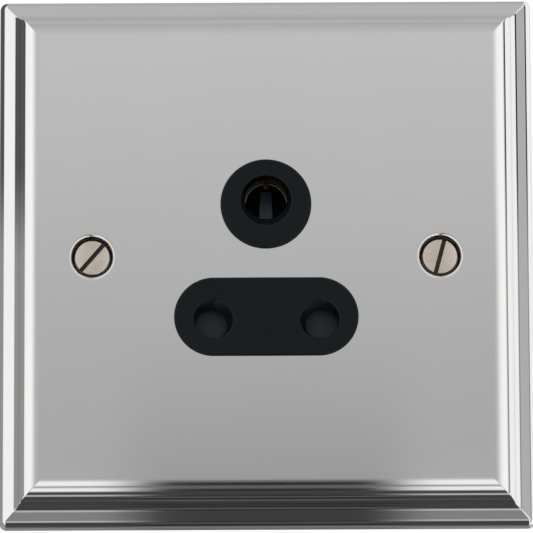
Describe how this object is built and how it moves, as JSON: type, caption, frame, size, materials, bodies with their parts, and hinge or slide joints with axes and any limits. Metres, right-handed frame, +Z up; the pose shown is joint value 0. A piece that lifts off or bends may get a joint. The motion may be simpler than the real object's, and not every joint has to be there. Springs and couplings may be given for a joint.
{
  "type": "round pin socket",
  "caption": "Unswitched flush wall socket with three round pin holes in a black insert, on a square polished chrome plate with a stepped edge and two slotted screws.",
  "frame": {"origin": "middle of the plate, in the plane of the wall", "axes": "+X to the right seen from the room, +Z up, +Y into the wall"},
  "size_m": [0.093, 0.0279, 0.093],
  "materials": {
    "plate": "polished chrome plating on pressed steel",
    "insert": "black moulded thermoset, satin gloss",
    "rear": "black moulded thermoset, matt",
    "shutter": "dark grey moulded nylon",
    "screw": "nickel plated, faintly warm",
    "brass": "machined brass",
    "spring": "spring steel",
    "plated_steel": "zinc plated"
  },
  "bodies": {
    "housing": {"case_screw_1": "plated_steel", "case_screw_2": "plated_steel", "case_screw_3": "plated_steel", "case_screw_4": "plated_steel", "contact_cover": "rear", "earth_contact": "brass", "earth_contact_clip": "spring", "earth_strap": "brass", "earth_stud": "plated_steel", "earth_stud_nut": "brass", "earth_stud_washer": "plated_steel", "earth_terminal_screw": "brass", "front_moulding": "insert", "front_plate": "plate", "left_fixing_screw": "screw", "live_contact": "brass", "live_contact_clip": "spring", "live_terminal_screw": "brass", "neutral_contact": "brass", "neutral_contact_clip": "spring", "neutral_terminal_screw": "brass", "plate_stud_1": "plated_steel", "plate_stud_2": "plated_steel", "plate_stud_3": "plated_steel", "plate_stud_4": "plated_steel", "push_nut_1": "spring", "push_nut_2": "spring", "push_nut_3": "spring", "push_nut_4": "spring", "rear_moulding": "rear", "right_fixing_screw": "screw"},
    "shutter": {"shutter": "shutter", "shutter_spring": "spring"}
  },
  "joints": [
    {"name": "shutter_slide", "type": "slide", "parent": "housing", "child": "shutter", "axis": [0, 0, -1], "range_m": [0, 0.0055], "stiffness_N_per_m": 120, "springref_m": -0.003, "deforming": ["shutter_spring"]}
  ]
}
